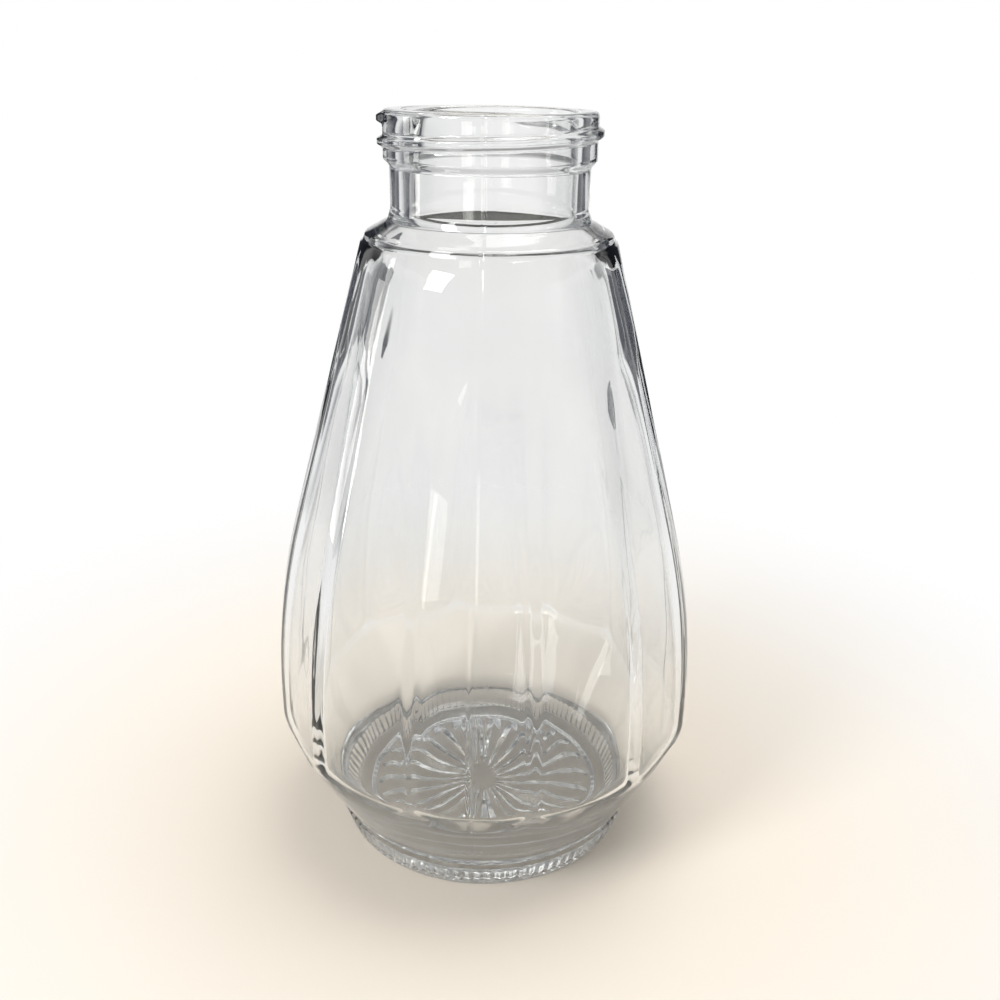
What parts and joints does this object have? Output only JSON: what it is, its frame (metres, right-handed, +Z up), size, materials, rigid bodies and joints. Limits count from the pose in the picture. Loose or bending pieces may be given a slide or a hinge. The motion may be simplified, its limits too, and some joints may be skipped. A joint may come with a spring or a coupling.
{
  "type": "syrup dispenser",
  "caption": "Panelled glass syrup jar with a screw neck, and its pouring top with a sprung hinged lid, thumb lever and finger loop standing beside it.",
  "frame": {"origin": "on the jar's axis, at the level that its foot stands on", "axes": "+Z up along the jar's axis; -Y is the front of the jar, where a mould seam runs down the middle of a panel, and the way the top's spout points; +X from the jar towards the top that stands beside it"},
  "size_m": [0.2197, 0.1215, 0.16],
  "materials": {
    "glass": "clear pressed glass, fire polished",
    "ring_plastic": "moulded, satin",
    "seal_rubber": "soft silicone",
    "chrome": "bright plated",
    "rivet_steel": "satin",
    "spring_steel": "drawn wire",
    "black_plastic": "moulded, glossy"
  },
  "bodies": {
    "jar": {"glass_jar": "glass"},
    "top": {"thread_ring": "ring_plastic", "neck_gasket": "seal_rubber", "cap_skirt": "chrome", "pour_dome": "chrome", "pour_spout": "chrome", "hinge_bracket": "chrome", "bracket_rivets": "rivet_steel", "hinge_pin": "rivet_steel", "lid_spring": "spring_steel", "finger_handle": "black_plastic", "handle_rivets": "rivet_steel"},
    "lid": {"lid_flap": "chrome", "lid_pad": "seal_rubber", "lid_lever": "chrome", "lid_rivets": "rivet_steel", "thumb_grip": "black_plastic"}
  },
  "joints": [
    {"name": "top_lift", "type": "slide", "parent": "jar", "child": "top", "axis": [0, 0, 1], "range_m": [0, 0.18]},
    {"name": "lid_hinge", "type": "hinge", "parent": "top", "child": "lid", "pos_m": [0.148, -0.0455, 0.0395], "axis": [-1, 0, 0], "range_deg": [0, 55], "stiffness_Nm_per_rad": 0.006, "springref_deg": -45.84, "deforming": ["lid_spring"]}
  ]
}
